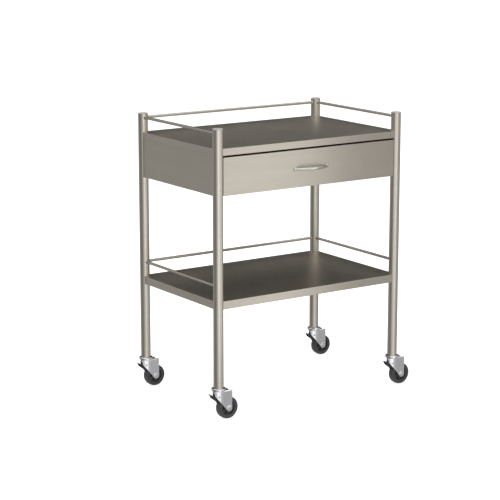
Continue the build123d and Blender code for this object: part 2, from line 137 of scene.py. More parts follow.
def brushed_steel(name, tone, grain, roughness, marks=0.025):
    """Steel polished along one axis, with faint streaks, handling marks and cloudy wear."""
    nodes = Nodes(name, metallic=1.0, roughness=roughness)
    line_spread = 0.04  # how far the polishing lines move the roughness either way
    streak = 0.03  # noise squeezed along the grain, which draws it out into lines
    across = tuple(streak if axis == grain else 1.0 for axis in "XYZ")
    lines = nodes.noise(scale=900.0, detail=4.0, rough=0.6, stretch=across)
    bands = nodes.noise(scale=60.0, detail=3.0, rough=0.55, stretch=across)
    clouds = nodes.noise(scale=5.5, detail=4.0, rough=0.6)
    smears = nodes.noise(scale=14.0, detail=5.0, rough=0.65, stretch=(1.0, 1.0, 1.7))
    tint = nodes.blend(nodes.span(bands, 0.0, 1.0), scaled(tone, share=0.93), tone)
    tint = nodes.blend(nodes.span(clouds, 0.0, 0.5), tint, scaled(tone, share=0.90))
    rough = nodes.plus(
        nodes.span(lines, roughness - line_spread, roughness + line_spread),
        nodes.span(smears, -marks, marks),
    )
    return nodes.finish(tint, rough, lines, depth=0.00012, strength=0.22)


def plated_steel(name, tone, roughness):
    """Bright plate: faintly mottled crystals and a few duller, darker patches."""
    nodes = Nodes(name, metallic=1.0, roughness=roughness)
    spangle = nodes.noise(scale=260.0, detail=2.0, rough=0.5)
    patches = nodes.noise(scale=45.0, detail=4.0, rough=0.6)
    tint = nodes.blend(nodes.span(spangle, 0.0, 1.0), scaled(tone, share=0.95), tone)
    tint = nodes.blend(nodes.span(patches, 0.0, 0.5), tint, scaled(tone, share=0.90))
    rough = nodes.span(patches, roughness - 0.03, roughness + 0.06)
    return nodes.finish(tint, rough, spangle, depth=0.00005, strength=0.05)


def moulded(name, tone, roughness, sheen=0.0, grain=700.0, dust=(0.3, 0.3, 0.3)):
    """Moulded plastic or rubber: a fine leathery skin, flow marks and settled dust."""
    nodes = Nodes(name, metallic=0.0, roughness=roughness)
    nodes.shader.inputs["Sheen Weight"].default_value = sheen
    pores = nodes.noise(scale=grain, detail=3.0, rough=0.6)
    flow = nodes.noise(scale=35.0, detail=4.0, rough=0.6)
    tint = nodes.blend(
        nodes.span(flow, 0.0, 1.0), scaled(tone, share=0.8), scaled(tone, share=1.15)
    )
    tint = nodes.blend(nodes.span(pores, 0.0, 0.10), tint, dust)
    rough = nodes.span(flow, roughness - 0.07, roughness + 0.09)
    return nodes.finish(tint, rough, pores, depth=0.00025, strength=0.35)


SHEET_TONE = (0.62, 0.575, 0.50)
TUBE_TONE = (0.64, 0.60, 0.53)
ROD_TONE = (0.56, 0.53, 0.47)
WELD_TONE = (0.50, 0.46, 0.40)
ZINC_TONE = (0.80, 0.80, 0.83)
RUNNER_TONE = (0.60, 0.61, 0.62)
POLISHED_TONE = (0.62, 0.61, 0.57)
DARK_DUST = (0.12, 0.12, 0.12)

steel = {
    axis: brushed_steel(f"brushed_steel_{axis.lower()}", SHEET_TONE, axis, roughness=0.36)
    for axis in "XY"
}
tube_steel = brushed_steel("tube_steel", TUBE_TONE, "Z", roughness=0.36)
rail_steel = {
    axis: brushed_steel(f"rail_steel_{axis.lower()}", ROD_TONE, axis, roughness=0.26)
    for axis in "XY"
}
weld_steel = brushed_steel("weld_steel", WELD_TONE, "Z", roughness=0.38, marks=0.1)
zinc = plated_steel("zinc_plate", ZINC_TONE, roughness=0.12)
runner_zinc = plated_steel("runner_zinc", RUNNER_TONE, roughness=0.34)
chrome = plated_steel("polished_handle", POLISHED_TONE, roughness=0.16)
grey_plastic = moulded("grey_plastic", (0.30, 0.29, 0.27), roughness=0.45)
hub_plastic = moulded(
    "hub_plastic", (0.035, 0.035, 0.037), roughness=0.38, grain=700.0, dust=DARK_DUST
)
tyre_rubber = moulded(
    "tyre_rubber", (0.032, 0.032, 0.034), roughness=0.42, sheen=0.1, grain=900.0, dust=DARK_DUST
)
black_paint = moulded(
    "black_paint", (0.012, 0.012, 0.013), roughness=0.30, grain=1200.0, dust=(0.1, 0.1, 0.1)
)
black_rubber = moulded("black_rubber", (0.018, 0.018, 0.019), roughness=0.6, sheen=0.2)

node_material = {
    "leg_caps": grey_plastic,
    "leg_sockets": zinc,
    "castor_kingpins": zinc,
    "swivel_bearings": zinc,
    "shelf_stiffeners": steel["X"],
    "top_shelf": steel["X"],
    "lower_shelf": steel["X"],
    "side_panel_left": steel["Y"],
    "side_panel_right": steel["Y"],
    "back_panel": steel["X"],
    "drawer_front": steel["X"],
    "drawer_front_liner": steel["X"],
    "drawer_box": steel["Y"],
    "drawer_handle": chrome,
    "handle_screws": zinc,
    "drawer_bumpers": black_rubber,
}
for name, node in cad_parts.items():
    made = node_material.get(name)
    if name.startswith("leg_") and made is None:
        made = tube_steel
    elif "_rail_" in name:
        made = rail_steel["X" if name.endswith("back") else "Y"]
    elif name.startswith("runner"):
        made = runner_zinc
    elif name.endswith(("_fork", "_swivel_housing", "_fasteners")):
        made = zinc
    elif name.endswith("_tyre"):
        made = tyre_rubber
    elif name.endswith("_hub"):
        made = hub_plastic
    elif name.endswith("_brake_lever"):
        made = black_paint
    node.data.materials.clear()
    node.data.materials.append(made)


# ---- Mesh building ---------------------------------------------------------------------
def rounded(points, steps=5, closed=True):
    """A flat outline whose corners (x, y, r) are arcs of radius r; a plain (x, y) stays sharp."""
    line = []
    for index, point in enumerate(points):
        here = Vector(point[:2])
        radius = point[2] if len(point) > 2 else 0.0
        if radius == 0.0 or (not closed and index in (0, len(points) - 1)):
            line.append(here)
            continue
        before = (Vector(points[index - 1][:2]) - here).normalized()
        after = (Vector(points[(index + 1) % len(points)][:2]) - here).normalized()
        half = before.angle(after) / 2
        centre = here + (before + after).normalized() * (radius / math.sin(half))
        start = here + before * (radius / math.tan(half)) - centre
        end = here + after * (radius / math.tan(half)) - centre
        first = math.atan2(start.y, start.x)
        sweep = (math.atan2(end.y, end.x) - first + math.pi) % (2 * math.pi) - math.pi
        for step in range(steps + 1):
            angle = first + sweep * step / steps
            line.append(centre + Vector((math.cos(angle), math.sin(angle))) * radius)
    return line


FLAT = Matrix.Identity(4)


def skin(bm, rings, closed_ring=True, closed_path=False):
    """Quads between successive rings of vertices."""
    count = len(rings[0])
    last = len(rings) if closed_path else len(rings) - 1
    for index in range(last):
        near, far = rings[index], rings[(index + 1) % len(rings)]
        for k in range(count if closed_ring else count - 1):
            nxt = (k + 1) % count
            bm.faces.new((near[k], near[nxt], far[nxt], far[k]))


def prism(bm, outline, low, high, place, edge):
    """A plate of the given outline from low to high, with its rims rounded by edge."""
    arc = [math.radians(45.0 * k) for k in range(3)]
    layers = [(low + edge * (1 - math.sin(a)), edge * (1 - math.cos(a))) for a in reversed(arc)]
    layers += [(high - edge * (1 - math.sin(a)), edge * (1 - math.cos(a))) for a in arc]
    area = sum(a.cross(b) for a, b in zip(outline, outline[1:] + outline[:1]))
    way = 1.0 if area > 0 else -1.0
    sharpest = 0.4  # keeps the inset of a sharp corner from running away
    normals = []
    for index, point in enumerate(outline):
        before = (point - outline[index - 1]).normalized()
        after = (outline[(index + 1) % len(outline)] - point).normalized()
        along = (before + after).normalized()
        inward = Vector((-along.y, along.x)) * way
        normals.append(inward / max(sharpest, before.dot(along)))
    rings = []
    for height, inset in layers:
        ring = []
        for point, inward in zip(outline, normals):
            spot = point + inward * inset
            ring.append(bm.verts.new(place @ Vector((spot.x, spot.y, height))))
        rings.append(ring)
    skin(bm, rings)
    bm.faces.new(rings[0])
    bm.faces.new(rings[-1])


def lathe(bm, profile, place=FLAT, steps=48, hollow=False):
    """A solid of revolution about the place's z axis; profile is a list of (radius, height)."""
    rings = []
    for radius, height in profile:
        ring = []
        for k in range(steps):
            angle = 2 * math.pi * k / steps
            spot = Vector((radius * math.cos(angle), radius * math.sin(angle), height))
            ring.append(bm.verts.new(place @ spot))
        rings.append(ring)
    skin(bm, rings, closed_path=hollow)
    if not hollow:
        bm.faces.new(rings[0])
        bm.faces.new(rings[-1])


def tube(bm, path, sections, up=(0.0, 0.0, 1.0)):
    """A closed sweep along a path of vectors, with one flat section for each point."""
    rings = []
    for index, (point, section) in enumerate(zip(path, sections)):
        before, after = path[max(index - 1, 0)], path[min(index + 1, len(path) - 1)]
        along = (after - before).normalized()
        side = along.cross(Vector(up)).normalized()
        rise = side.cross(along)
        rings.append([bm.verts.new(point + side * s.x + rise * s.y) for s in section])
    skin(bm, rings)
    bm.faces.new(rings[0])
    bm.faces.new(rings[-1])


def ellipse(half_x, half_y, steps):
    turns = [2 * math.pi * k / steps for k in range(steps)]
    return [Vector((half_x * math.cos(a), half_y * math.sin(a))) for a in turns]


def make_piece(name, bm, material, body, nodes, smooth=32.0, place=None):
    """Turns millimetre work into a piece that rides on body and stands for nodes."""
    bmesh.ops.recalc_face_normals(bm, faces=bm.faces)
    bmesh.ops.scale(bm, vec=(MM, MM, MM), verts=bm.verts)
    for face in bm.faces:
        face.smooth = True
    mesh = bpy.data.meshes.new(name)
    bm.to_mesh(mesh)
    bm.free()
    mesh.set_sharp_from_angle(angle=math.radians(smooth))
    mesh.materials.append(material)
    return add_piece(name, mesh, body, nodes, place)


def add_piece(name, mesh, body, nodes, place=None):
    """Puts a mesh in the scene as a piece; pieces may share one mesh."""
    piece = bpy.data.objects.new(name, mesh)
    bpy.context.scene.collection.objects.link(piece)
    if place is not None:
        piece.matrix_world = place
    even = piece.modifiers.new("even_normals", "WEIGHTED_NORMAL")
    even.keep_sharp = True
    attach(piece, body)
    if nodes:
        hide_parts(*nodes)
    return piece


# ---- Sheet work ------------------------------------------------------------------------
def folded(corners, thick, inside=0.7):
    """Both faces of a sheet folded along corners; the second lies to the left of the first."""
    steps = 4
    first, second = [], []
    last = len(corners) - 1
    for index, corner in enumerate(corners):
        here = Vector(corner)
        before = (here - Vector(corners[max(index - 1, 0)])).normalized()
        after = (Vector(corners[min(index + 1, last)]) - here).normalized()
        before, after = (before if index else after), (after if index < last else before)
        bisector = (Vector((-before.y, before.x)) + Vector((-after.y, after.x))).normalized()
        there = here + bisector * (thick / bisector.dot(Vector((-before.y, before.x))))
        near, far = inside + thick, inside
        if before.cross(after) < 0:
            near, far = far, near
        bend = 0 < index < last
        first.append((here.x, here.y, near if bend else 0.0))
        second.append((there.x, there.y, far if bend else 0.0))
    return rounded(first, steps, False), rounded(second, steps, False)


def strip(bm, faces, ends, place, joined=False):
    """Runs a folded sheet between ends(x), the start and end for a point of its profile."""
    rows = []
    for outer, inner in zip(*faces):
        row = []
        for spot in (outer, inner):
            for end in ends(spot.x):
                row.append(bm.verts.new(place @ Vector((spot.x, spot.y, end))))
        rows.append(row)
    for near, far in zip(rows, rows[1:]):
        for a, b in ((0, 1), (1, 3), (3, 2), (2, 0)):
            bm.faces.new((near[a], near[b], far[b], far[a]))
    for row in (rows[-1:] if joined else (rows[0], rows[-1])):
        bm.faces.new((row[0], row[1], row[3], row[2]))
    return rows[0]


def coped(pitch, radius):
    """Ends for a strip between two legs pitch apart, cut to the legs' round sides."""
    def ends(over):
        back_off = math.sqrt(max(radius * radius - over * over, 0.0))
        return back_off, pitch - back_off
    return ends


def side_frame(start, end):
    """Profile x points away from the trolley, y up, and depth runs from start to end."""
    along = (end - start).normalized()
    up = Vector((0.0, 0.0, 1.0))
    turn = Matrix((along.cross(up), up, along)).transposed().to_4x4()
    return Matrix.Translation(start) @ turn


def corner_point(corner, height):
    return Vector((leg_place[corner].x, leg_place[corner].y, height))


def leg_axis(corner):
    return Matrix.Translation(corner_point(corner, 0.0))


def arc_between(centre, start, end, inward, steps):
    """Points round centre from start to end, by the way that passes inward."""
    first = math.atan2(start.y - centre.y, start.x - centre.x)
    sweep = (math.atan2(end.y - centre.y, end.x - centre.x) - first) % (2 * math.pi)
    middle = first + sweep / 2
    if math.cos(middle) * inward.x + math.sin(middle) * inward.y < 0:
        sweep -= 2 * math.pi
    radius = (start.xy - centre.xy).length
    turns = [first + sweep * k / steps for k in range(steps + 1)]
    return [Vector((centre.x + radius * math.cos(t), centre.y + radius * math.sin(t), start.z))
            for t in turns]


# ---- Frame: legs, caps, shelves, rails and panels --------------------------------------
leg_place = {corner: middle_mm(f"leg_{corner}") for corner in CORNERS}
leg_low, leg_high = box_mm("leg_front_left")
leg_r = (leg_high.x - leg_low.x) / 2
leg_bore = leg_r - 1.5
cope_r = leg_r - 0.2  # sheets run just into the tube's wall
frame_centre = sum((leg_place[c] for c in CORNERS), Vector()) / 4
over = frame_centre.y - (leg_place["back_left"].y - leg_place["front_left"].y) / 2
over -= box_mm("top_shelf")[0].y  # from a leg's axis out to the faces of the shelves
sheet = 1.2
leg_rim = 0.4  # rounding of a tube's cut ends

for corner in CORNERS:
    bm = bmesh.new()
    wall = [(leg_bore, leg_low.z, leg_rim), (leg_r, leg_low.z, leg_rim),
            (leg_r, leg_high.z, leg_rim), (leg_bore, leg_high.z, leg_rim)]
    lathe(bm, rounded(wall, 2), leg_axis(corner), 64, hollow=True)
    make_piece(f"tube_{corner}", bm, tube_steel, "frame", [f"leg_{corner}"])

bm = bmesh.new()
cap_low, cap_high = box_mm("leg_caps")
cap_foot, cap_top = cap_low.z, cap_high.z
plug_r = leg_bore - 0.1
plug_lead = 1.5
# The plug with its lead-in, the bulging brim over the tube, then a groove and a low dome.
cap = [(plug_r - plug_lead, cap_foot), (plug_r, cap_foot + plug_lead), (plug_r, cap_top - 2.3),
       (leg_r, cap_top - 1.95), (leg_r + 0.15, cap_top - 1.2), (leg_r - 0.3, cap_top - 0.45),
       (leg_r - 1.5, cap_top), (leg_r - 4.0, cap_top + 0.12), (leg_r - 4.5, cap_top - 0.1),
       (6.0, cap_top + 0.25), (1.0, cap_top + 0.35)]
for corner in CORNERS:
    lathe(bm, cap, leg_axis(corner), 64)
make_piece("tube_end_caps", bm, grey_plastic, "frame", ["leg_caps"])


def make_shelf(node, welds):
    """A pan folded down and under on all sides, notched and welded round the legs."""
    low, high = box_mm(node)
    bm = bmesh.new()
    lip = 14.0  # return fold under the pan
    # The first point only gives the top's direction, so the strips start at the top fold.
    profile = ((over - 6.0, high.z), (over, high.z), (over, low.z), (over - lip, low.z))
    first, second = folded(profile, -sheet, inside=0.8)
    faces = (first[1:], second[1:])
    starts = []
    for index, corner in enumerate(LOOP):
        start = corner_point(corner, 0.0)
        end = corner_point(LOOP[(index + 1) % 4], 0.0)
        pitch = (end - start).length
        starts.append(strip(bm, faces, coped(pitch, cope_r), side_frame(start, end), True))
    for level in (0, 2):  # the top's outer face, then its inner face
        loop = []
        for index, row in enumerate(starts):
            corner = LOOP[(index + 1) % 4]
            hinge, following = row[level + 1], starts[(index + 1) % 4][level]
            centre = corner_point(corner, hinge.co.z)
            inward = frame_centre - centre
            path = arc_between(centre, hinge.co, following.co, inward, steps=18)
            notch = [hinge] + [bm.verts.new(p) for p in path[1:-1]] + [following]
            loop.append(notch)
        bm.faces.new([v for notch in loop for v in notch])
        if level == 0:
            upper = loop
        else:
            for above, below in zip(upper, loop):
                skin(bm, (above, below), closed_ring=False)
    for notch in upper:
        path = [v.co.copy() for v in notch]
        fine = []
        for here, there in zip(path, path[1:]):
            fine += [here.lerp(there, k / 3) for k in range(3)]
        # A weld bead whose size ripples along its run.
        sizes = [1.15 + 0.16 * math.sin(index * 2.1) for index in range(len(fine))]
        tube(welds, fine, [ellipse(size, size, 8) for size in sizes])
    return bm


welds = bmesh.new()
for tier in ("top", "lower"):
    bm = make_shelf(f"{tier}_shelf", welds)
    make_piece(f"{tier}_shelf_pan", bm, steel["X"], "frame", [f"{tier}_shelf"])


def make_rail(tier, side, start_corner, end_corner):
    """A rod between two legs with a fillet of weld at each end."""
    node = f"{tier}_rail_{side}"
    low, high = box_mm(node)
    height = (low.z + high.z) / 2
    radius = (high.z - low.z) / 2
    start = corner_point(start_corner, height)
    end = corner_point(end_corner, height)
    along = (end - start).normalized()
    length = (end - start).length
    # The weld at each end: how far along from the leg's wall, and how much thicker there.
    fillet = ((-0.8, 1.6), (0.2, 1.5), (0.7, 0.9), (1.3, 0.4), (2.2, 0.1), (3.2, 0.0))
    marks = [(leg_r + step, swell) for step, swell in fillet]
    marks += [(length - leg_r - step, swell) for step, swell in reversed(fillet)]
    path = [start + along * mark for mark, swell in marks]
    shape = [ellipse(radius + swell, radius + swell, 24) for mark, swell in marks]
    bm = bmesh.new()
    tube(bm, path, shape)
    finish = rail_steel["X" if side == "back" else "Y"]
    make_piece(f"{tier}_guard_{side}", bm, finish, "frame", [node], 50.0)


RAILS = {"back": ("back_left", "back_right"), "left": ("front_left", "back_left"),
         "right": ("front_right", "back_right")}
for tier in ("top", "lower"):
    for side, ends in RAILS.items():
        make_rail(tier, side, *ends)


def make_panel(node, start_corner, end_corner):
    """A panel between two legs, folded inward along its top and bottom."""
    low, high = box_mm(node)
    start, end = corner_point(start_corner, 0.0), corner_point(end_corner, 0.0)
    fold = 16.0  # inward fold along the top and the bottom
    profile = ((over - fold, high.z), (over, high.z), (over, low.z), (over - fold, low.z))
    bm = bmesh.new()
    pitch = (end - start).length
    strip(bm, folded(profile, -sheet), coped(pitch, cope_r), side_frame(start, end))
    finish = steel["X" if "back" in node else "Y"]
    make_piece(f"{node}_sheet", bm, finish, "frame", [node])
    # A rippled bead of weld down each end, where the panel's face meets its leg.
    bead_sink = 0.4
    steps = 60
    back_off = math.sqrt(leg_r ** 2 - over ** 2)
    along = (end - start).normalized()
    out = along.cross(Vector((0, 0, 1)))
    beads = [ellipse(1.0 + 0.12 * math.sin(k * 1.9), 1.0, 8) for k in range(steps + 1)]
    for foot in (start + along * back_off, end - along * back_off):
        seam = foot + out * (over - bead_sink)
        run = [seam + Vector((0, 0, low.z + (high.z - low.z) * k / steps))
               for k in range(steps + 1)]
        tube(welds, run, beads, up=out)


make_panel("side_panel_left", "back_left", "front_left")
make_panel("side_panel_right", "front_right", "back_right")
make_panel("back_panel", "back_right", "back_left")
make_piece("frame_welds", welds, weld_steel, "frame", [], 60.0)


# ---- Drawer ----------------------------------------------------------------------------
def rectangle(centre, width, depth, corner):
    """A rounded rectangle as an outline with the same number of points at any size."""
    half_x, half_y = width / 2, depth / 2
    corners = [(half_x, half_y), (-half_x, half_y), (-half_x, -half_y), (half_x, -half_y)]
    return rounded([(centre.x + x, centre.y + y, corner) for x, y in corners], steps=4)


def stack(bm, layers, centre, place):
    """A closed skin through rounded rectangles (width, depth, corner, height) in turn."""
    rings = []
    for width, depth, corner, height in layers:
        outline = rectangle(centre, width, depth, corner)
        rings.append([bm.verts.new(place @ Vector((p.x, p.y, height))) for p in outline])
    skin(bm, rings)
    bm.faces.new(rings[0])
    bm.faces.new(rings[-1])


front_low, front_high = box_mm("drawer_front")
front_middle = (front_low + front_high) / 2
skin_w, front_h = front_high.x - front_low.x, front_high.z - front_low.z
side_step = 2.8  # the folded body stands in from the skin on each side
body_w = skin_w - 2 * side_step
body_h = front_h - 0.4
body_edge = 1.4
face_y = front_low.y
face_round = 0.8
skin_corner = 1.6
skin_back = 1.1  # how far behind the face the skin's own edge ends
step_back = 1.3  # where the body starts
pan_floor = 1.4  # inside of the hollow front, behind the face
# Looking at the drawer's face: x right, y up, and height runs back into the drawer.
face_place = Matrix(((1, 0, 0, 0), (0, 0, 1, face_y), (0, 1, 0, 0), (0, 0, 0, 1)))
face_centre = Vector((front_middle.x, front_middle.z))
arc = [math.radians(90 * k / 4) for k in range(5)]
layers = [
    (skin_w - 2 * face_round * (1 - math.sin(a)), front_h - 2 * face_round * (1 - math.sin(a)),
     skin_corner - 0.7 * (1 - math.sin(a)), face_round * (1 - math.cos(a)))
    for a in arc
]
deep = front_high.y - face_y
layers += [
    (skin_w, front_h, skin_corner, skin_back),
    (skin_w - 0.4, body_h, body_edge, step_back),
    (body_w, body_h, body_edge, step_back),
    (body_w, body_h, body_edge, deep - 0.2),
    (body_w - 0.4, front_h - 0.8, 1.2, deep),
    (body_w - 2.4, front_h - 2.8, 0.6, deep),
    (body_w - 2.4, front_h - 2.8, 0.6, pan_floor),
]
bm = bmesh.new()
stack(bm, layers, face_centre, face_place)
make_piece("drawer_front_pan", bm, steel["X"], "drawer", ["drawer_front"])

box_low, box_high = box_mm("drawer_box")
box_w, box_d = box_high.x - box_low.x, box_high.y - box_low.y
wall = 1.0
hem = 3.0  # width of the rolled hem along the walls' top
tray_corner = 4.0
hem_foot = box_high.z - 1.5  # where the hem's round top springs from
hem_end = box_high.z - 9.0  # lower edge of the hem, inside
tray_floor = box_low.z + wall
# (how far in from the box's sides, corner radius, height), up the outside and down the inside
turns = [(2.0, 2.0, box_low.z), (0.6, 3.4, box_low.z + 0.5),
         (0.0, tray_corner, box_low.z + 2.0), (0.0, tray_corner, hem_foot)]
for k in range(1, 8):
    turn = math.radians(180 * k / 8)
    inset = hem / 2 * (1 - math.cos(turn))
    turns.append((inset, tray_corner - inset / 4, hem_foot + hem / 2 * math.sin(turn)))
turns += [(hem, 3.2, hem_foot), (hem, 3.2, hem_end), (hem - 0.3, 3.2, hem_end - 0.6),
          (wall, 3.0, hem_end - 0.6), (wall, 3.0, tray_floor + 2.0),
          (wall + 0.6, 2.6, tray_floor + 0.5), (wall + 2.0, 1.8, tray_floor)]
layers = [(box_w - 2 * inset, box_d - 2 * inset, corner, height)
          for inset, corner, height in turns]
bm = bmesh.new()
stack(bm, layers, ((box_low + box_high) / 2).xy, FLAT)
make_piece("drawer_tray", bm, steel["Y"], "drawer", ["drawer_box"])

# Bow handle: one arc between two round feet, fullest in the middle.
handle_low, handle_high = box_mm("drawer_handle")
foot_r = 7.0
thin_end, thin_swell = 2.6, 0.4  # half the bar's thickness at a foot, and what it gains
tall_end, tall_swell = 3.3, 1.2  # the same for half its height
half_chord = (handle_high.x - handle_low.x) / 2 - foot_r
reach = face_y - handle_low.y - (thin_end + thin_swell)
bow_r = (half_chord ** 2 + reach ** 2) / (2 * reach)
bow_half = math.asin(half_chord / bow_r)
handle_middle = (handle_low + handle_high) / 2
bow, sections = [], []
for k in range(49):
    turn = bow_half * (k / 24 - 1.0)
    bow.append(Vector((handle_middle.x + bow_r * math.sin(turn),
                       face_y - reach + bow_r * (1 - math.cos(turn)), handle_middle.z)))
    fullness = math.cos(turn / bow_half * math.pi / 2) ** 0.5
    sections.append(
        ellipse(thin_end + thin_swell * fullness, tall_end + tall_swell * fullness, 20)
    )
bm = bmesh.new()
tube(bm, bow, sections)
for vert in bm.verts:
    vert.co.y = min(vert.co.y, face_y - 0.4)  # the bow's ends stop inside the feet
foot_profile = [(foot_r - 0.4, 0.05), (foot_r, 0.5), (foot_r, 2.2), (foot_r - 0.5, 3.2),
                (foot_r - 1.6, 3.9), (foot_r - 3.2, 4.3), (1.0, 4.5)]
for x in (bow[0].x, bow[-1].x):
    # Looking from behind the face, so that a foot's height stands out of the drawer.
    foot = Matrix(((1, 0, 0, x), (0, 0, -1, face_y), (0, 1, 0, handle_middle.z), (0, 0, 0, 1)))
    lathe(bm, foot_profile, foot, 40)
make_piece("bow_handle", bm, chrome, "drawer", ["drawer_handle"], 50.0)

bm = bmesh.new()
low, high = box_mm("drawer_bumpers")
pad_r = (high.z - low.z) / 2
pad_z = (low.z + high.z) / 2
thick = high.y - low.y
# A round pad with a dimple over its nail.
pad_profile = [(pad_r - 0.5, 0.0), (pad_r, 0.5), (pad_r, thick - 2.2), (pad_r - 0.7, thick - 0.8),
               (pad_r - 2.2, thick), (2.2, thick), (1.6, thick - 1.2), (0.4, thick - 1.4)]
for x in (low.x + pad_r, high.x - pad_r):
    pad = Matrix(((1, 0, 0, x), (0, 0, 1, low.y), (0, -1, 0, pad_z), (0, 0, 0, 1)))
    lathe(bm, pad_profile, pad, 32)
make_piece("bumper_pads", bm, black_rubber, "drawer", ["drawer_bumpers"])

# Telescopic runners: three rolled channels a side, nested with the balls' room between.
RUNNERS = {"outer": "frame", "middle": "runner_middle", "inner": "drawer"}
runner_sheet = 1.4
for member, body in RUNNERS.items():
    for hand in ("left", "right"):
        node = f"runner_{member}_{hand}"
        low, high = box_mm(node)
        web_first = (hand == "left") != (member == "inner")
        web, tip = (low.x, high.x) if web_first else (high.x, low.x)
        profile = ((tip, high.z), (web, high.z), (web, low.z), (tip, low.z))
        thick = runner_sheet if web < tip else -runner_sheet
        place = Matrix(((1, 0, 0, 0), (0, 0, 1, low.y), (0, 1, 0, 0), (0, 0, 0, 1)))
        bm = bmesh.new()
        length = high.y - low.y
        strip(bm, folded(profile, thick, inside=0.8), lambda x: (0.0, length), place)
        make_piece(f"{node}_channel", bm, runner_zinc, body, [node])

# ---- Castors ---------------------------------------------------------------------------
# Castor work is drawn once about a kingpin at the origin: x trails towards the axle, y is
# the axle's direction and z is up. It is then placed under each leg.
castor = "castor_front_left"
wheel = middle_mm(f"{castor}_tyre")
lean = wheel.xy - leg_place["front_left"].xy
trail = lean.length
castor_turn = math.atan2(lean.y, lean.x)
wheel_r = wheel.z
fork_top = box_mm(f"{castor}_fork")[1].z
tread = 24.0
tyre_thick = 9.0
cheek = 16.0  # from the middle to a cheek's outer face
fork_sheet = 2.0
fork_bend = 4.0  # radius of the fold from the cheeks into the crown
fork_nose = -22.0
boss_r = 11.0  # cheek round the axle
nose_start = 11.0  # where the cheeks stop being flat and run round the nose
nose_low = fork_top - 13.0
crown_end = 29.0  # where the crown stops, short of the wheel
brake_pin = Vector((-7.0, fork_top - 20.0))
brake_sheet = 2.5
axle_place = Matrix(((1, 0, 0, trail), (0, 0, 1, 0), (0, 1, 0, wheel_r), (0, 0, 0, 1)))
pin_place = Matrix(((1, 0, 0, brake_pin.x), (0, 0, 1, 0), (0, 1, 0, brake_pin.y), (0, 0, 0, 1)))
side_place = Matrix(((1, 0, 0, 0), (0, 0, 1, 0), (0, 1, 0, 0), (0, 0, 0, 1)))


def fork_half(x):
    """Half the fork's width at x: flat cheeks, then a long elliptical nose."""
    if x >= nose_start:
        return cheek
    share = (nose_start - x) / (nose_start - fork_nose)
    return cheek * math.sqrt(max(1.0 - share * share, 0.0))


def make_fork():
    """A pressed horn: two cheeks run round one nose and are folded over into a crown."""
    to_axle = Vector((trail - fork_nose, nose_low - wheel_r))
    slope = math.atan2(to_axle.y, to_axle.x) + math.asin(boss_r * 0.8 / to_axle.length)
    near = []  # (x, half width, lower edge) from the tail round to the nose
    for k in range(15):
        turn = (math.pi / 2 + slope) * k / 14
        near.append((trail + boss_r * math.cos(turn), cheek, wheel_r - boss_r * math.sin(turn)))
    start_x, _, start_z = near[-1]
    # From the boss the lower edge rises in a straight line to the nose.
    rise = (nose_low - start_z) / (start_x - fork_nose)
    spots = [(start_x + (nose_start - start_x) * k / 6, cheek) for k in range(1, 7)]
    for k in range(1, 19):
        turn = math.pi / 2 * k / 18
        spots.append((nose_start + (fork_nose - nose_start) * math.sin(turn),
                      cheek * math.cos(turn)))
    near += [(x, half, start_z + (start_x - x) * rise) for x, half in spots]
    far = near[-2::-1]
    path = [(x, -half, low) for x, half, low in near] + [(x, half, low) for x, half, low in far]
    shoulder = fork_top - fork_bend
    bm = bmesh.new()
    rings = []
    for index, (x, y, low) in enumerate(path):
        before, after = path[max(index - 1, 0)], path[min(index + 1, len(path) - 1)]
        run = Vector((after[0] - before[0], after[1] - before[1])).normalized()
        if x > nose_start:
            inward = Vector((0.0, 1.0 if y < 0 else -1.0))
        else:
            inward = Vector((-run.y, run.x))
            if inward.x * (nose_start - x) - inward.y * y < 0:
                inward = -inward
        ring = [bm.verts.new((x, y, low + (shoulder - low) * k / 4)) for k in range(5)]
        for k in range(1, 7):
            turn = math.radians(15 * k)
            inset = inward * fork_bend * (1 - math.cos(turn))
            height = shoulder + fork_bend * math.sin(turn)
            ring.append(bm.verts.new((x + inset.x, y + inset.y, height)))
        rings.append(ring)
    skin(bm, rings, closed_ring=False)
    crown = [ring[-1] for ring in rings if ring[-1].co.x <= crown_end]
    bulge = 6.0  # the crown's round back edge
    back = []
    last = crown[-1].co
    for k in range(1, 12):
        turn = math.pi * k / 12
        spot = (last.x + bulge * math.sin(turn), last.y * math.cos(turn), fork_top)
        back.append(bm.verts.new(spot))
    bm.faces.new(crown + back)
    # The sheet is thickened inward, so its faces have to look outward first.
    bmesh.ops.recalc_face_normals(bm, faces=bm.faces)
    roof = max(bm.faces, key=lambda f: f.calc_area())
    roof.normal_update()
    if roof.normal.z < 0:
        bmesh.ops.reverse_faces(bm, faces=bm.faces)
    for face in bm.faces:
        face.normal_update()
    bmesh.ops.solidify(bm, geom=bm.faces[:], thickness=fork_sheet)
    # A dished ring pressed round each axle hole: (radius, height out of the cheek).
    dish = [(7.4, -1.0), (9.9, -0.2), (9.3, 0.4), (8.4, 0.6), (7.4, 0.2)]
    for way in (-1.0, 1.0):
        ring = [(radius, way * (cheek + height)) for radius, height in dish]
        lathe(bm, ring, axle_place, 40, hollow=True)
    return bm


